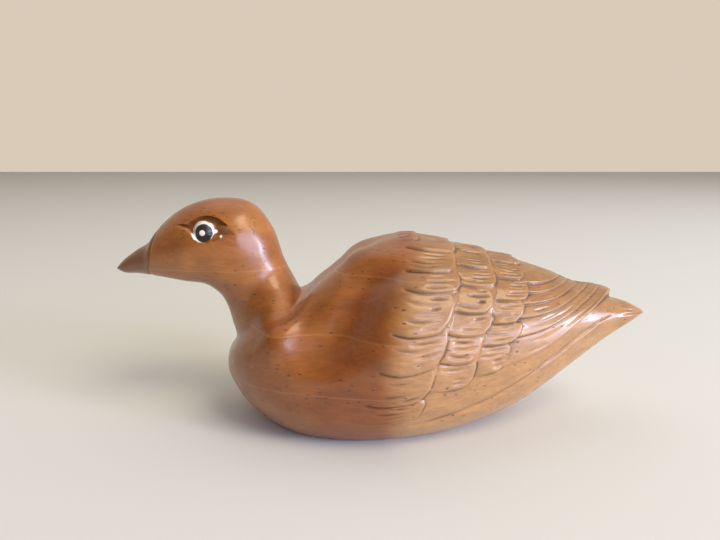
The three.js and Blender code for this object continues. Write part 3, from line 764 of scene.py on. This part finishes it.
def painted_disc(tree, place, wobble, x, z, radius, stretch=(1.0, 1.0)):
    """1 on a round or oval spot of paint and 0 off it. The wobble, in mm, moves its edge."""
    distance = calc(tree, "ADD", flat_distance(tree, place, x, z, stretch), wobble)
    return ramp(tree, distance, radius - 0.15, radius + 0.15, 1.0, 0.0)


def grain_place(tree, place):
    """Places that follow the grain, which wanders a little from the duck's length."""
    wander = noise(tree, place, GRAIN_WANDER)
    drift = {"Y": calc(tree, "MULTIPLY", wander, WANDER_Y),
             "Z": calc(tree, "MULTIPLY", wander, WANDER_Z)}
    drift = add_node(tree, "CombineXYZ", drift).outputs[0]
    return add_node(tree, "VectorMath", {0: place, 1: drift}, operation="ADD").outputs[0]


def wood_colour(tree, place, grained, height):
    """Stained wood: a dark front, partly painted shade; a pale wing and rear, partly painted light;
    the grain over both.
    """
    patches = ramp(tree, noise(tree, grained, PATCHES), 0.3, 0.7)
    colour = blend_colour(tree, patches, WOOD_DARK, WOOD_LIGHT)
    # The dark front: partly stain, partly painted shade.
    dark = calc(tree, "MULTIPLY", mark(tree, "dark"), 0.55)
    colour = blend_colour(tree, dark, colour, WOOD_RED)
    # The pale rear: partly lighter wood, partly painted window light and sheen.
    pale = blend_colour(tree, ramp(tree, height, PALE_LOW, PALE_HIGH), WOOD_TAN, WOOD_GOLD)
    colour = blend_colour(tree, mark(tree, "rear"), colour, pale)
    streaks = ramp(tree, noise(tree, grained, STREAKS, 3.0, 0.6), 0.3, 0.7, 0.92, 1.06)
    fibres = ramp(tree, noise(tree, grained, FIBRES, 2.0, 0.6), 0.3, 0.7, 0.91, 1.07)
    mottle = ramp(tree, noise(tree, place, MOTTLE, 3.0, 0.6), 0.3, 0.7, 0.86, 1.10)
    tone = calc(tree, "MULTIPLY", mottle, calc(tree, "MULTIPLY", streaks, fibres))
    return scaled_by(tree, colour, tone)


def aged_and_shaded_colour(tree, colour, height, groove, pore):
    """Glue lines, the beak's stain, worn edges, grime and painted shade in the cuts, grime in the
    pores.
    """
    glue = calc(tree, "MULTIPLY", glue_lines(tree, height), 0.16)
    colour = blend_colour(tree, glue, colour, GLUE_TONE)
    colour = blend_colour(tree, mark(tree, "beak"), colour, BEAK_STAIN)
    wear = calc(tree, "MULTIPLY", mark(tree, "wear"), 0.25)
    colour = blend_colour(tree, wear, colour, WORN_EDGE)
    # Painted shade, with some grime, in the cuts and the eye's socket.
    dirt_and_shade = ramp(tree, groove, 0.15, 1.0, 0.0, 0.85)
    colour = blend_colour(tree, dirt_and_shade, colour, GROOVE_DIRT_AND_SHADE)
    return blend_colour(tree, calc(tree, "MULTIPLY", pore, 0.8), colour, GROOVE_DIRT_AND_SHADE)


def paint_eyes(tree, colour, place):
    """White, black and a white glint, with the paint run into the socket's corner."""
    wobble = ramp(tree, noise(tree, place, PAINT_WOBBLE, 1.0), 0.3, 0.7, -0.18, 0.18)
    x, z = EYE["x"], EYE["z"]
    white = painted_disc(tree, place, wobble, x - 0.5, z + 0.75, 4.6, (1.12, 1.0))
    corner = painted_disc(tree, place, wobble, x + 4.3, z + 0.5, 1.6, (1.0, 0.55))
    speck = painted_disc(tree, place, wobble, x + 8.0, z - 1.45, 0.6)
    white = calc(tree, "MAXIMUM", calc(tree, "MAXIMUM", white, corner), speck)
    black = painted_disc(tree, place, 0.0, x, z, 4.05)
    glint = painted_disc(tree, place, 0.0, x - 0.5, z + 0.1, 1.3)
    colour = blend_colour(tree, white, colour, EYE_WHITE)
    colour = blend_colour(tree, black, colour, EYE_BLACK)
    return blend_colour(tree, glint, colour, EYE_WHITE)


def make_material():
    material = bpy.data.materials.new("stained wood")
    material.use_nodes = True
    tree = material.node_tree
    shader = tree.nodes["Principled BSDF"]
    place = scaled_by(tree, add_node(tree, "TexCoord").outputs["Object"], 1 / MM)
    height = add_node(tree, "SeparateXYZ", {0: place}).outputs["Z"]
    grained = grain_place(tree, place)
    groove = mark(tree, "groove")
    pore = pores(tree, grained)

    colour = wood_colour(tree, place, grained, height)
    colour = aged_and_shaded_colour(tree, colour, height, groove, pore)
    tree.links.new(paint_eyes(tree, colour, place), shader.inputs["Base Color"])

    rough = ramp(tree, noise(tree, grained, GLOSS_PATCHES, 3.0), 0.3, 0.7, 0.38, 0.48)
    rough = calc(tree, "ADD", rough, calc(tree, "MULTIPLY", mark(tree, "wing"), 0.06))
    rough = calc(tree, "ADD", rough, calc(tree, "MULTIPLY", groove, 0.2))
    tree.links.new(rough, shader.inputs["Roughness"])
    shader.inputs["Coat Weight"].default_value = 0.75
    shader.inputs["Coat Roughness"].default_value = 0.22
    shader.inputs["Coat IOR"].default_value = 1.5

    fibres = calc(tree, "MULTIPLY", noise(tree, grained, GRAIN_RELIEF, 2.0), GRAIN_DEPTH)
    relief = calc(tree, "SUBTRACT", fibres, calc(tree, "MULTIPLY", pore, PORE_DEPTH))
    bump = add_node(tree, "Bump", {"Height": relief, "Strength": 1.0, "Distance": MM})
    tree.links.new(bump.outputs[0], shader.inputs["Normal"])
    return material


duck.data.materials.append(make_material())


def make_floor():
    bpy.ops.mesh.primitive_plane_add(size=FLOOR_SIZE, location=(0, 0, 0))
    floor = bpy.context.object
    floor.name = "floor"
    material = bpy.data.materials.new("pale floor")
    material.use_nodes = True
    shader = material.node_tree.nodes["Principled BSDF"]
    shader.inputs["Base Color"].default_value = FLOOR_COLOUR
    shader.inputs["Roughness"].default_value = 0.6
    shader.inputs["Specular IOR Level"].default_value = 0.05
    floor.data.materials.append(material)


def soft_light(name, azimuth, elevation, distance, size, radiance, colour):
    """A rectangle of light that faces the duck. Azimuth 0 is the left flank's side, 90 the tail."""
    turn, rise = math.radians(azimuth), math.radians(elevation)
    level = math.cos(rise)
    toward = Vector((math.sin(turn) * level, -math.cos(turn) * level, math.sin(rise)))
    data = bpy.data.lights.new(name, "AREA")
    data.shape = "RECTANGLE"
    data.size, data.size_y = size
    data.energy = radiance * size[0] * size[1] * math.pi
    data.color = colour
    light = bpy.data.objects.new(name, data)
    light.location = Vector(LIT_CENTRE) + toward * distance
    light.rotation_euler = toward.to_track_quat("Z", "Y").to_euler()
    bpy.context.collection.objects.link(light)


def make_lights():
    soft_light("window", 66, 11, 2.6, (0.30, 0.87), 36.0, (0.64, 0.78, 1.0))
    soft_light("wide window", 52, 12, 2.6, (2.8, 1.0), 7.6, (0.70, 0.74, 1.0))
    soft_light("lamp", 48, 50, 2.4, (1.2, 1.2), 7.0, (1.0, 0.84, 0.60))
    soft_light("ceiling", 160, 78, 2.6, (3.2, 2.4), 0.5, (1.0, 0.95, 0.88))
    world = bpy.data.worlds.new("room")
    world.use_nodes = True
    tree = world.node_tree
    toward = add_node(tree, "SeparateXYZ", {0: add_node(tree, "TexCoord").outputs["Generated"]})
    behind = ramp(tree, toward.outputs["Y"], -0.4, 0.5)
    colour = blend_colour(tree, behind, ROOM_FRONT, ROOM_WALL)
    tree.links.new(colour, tree.nodes["Background"].inputs["Color"])
    bpy.context.scene.world = world
    bpy.context.scene.view_settings.view_transform = "Standard"


make_floor()
make_lights()

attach(duck, "root")
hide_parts("duck_carving")
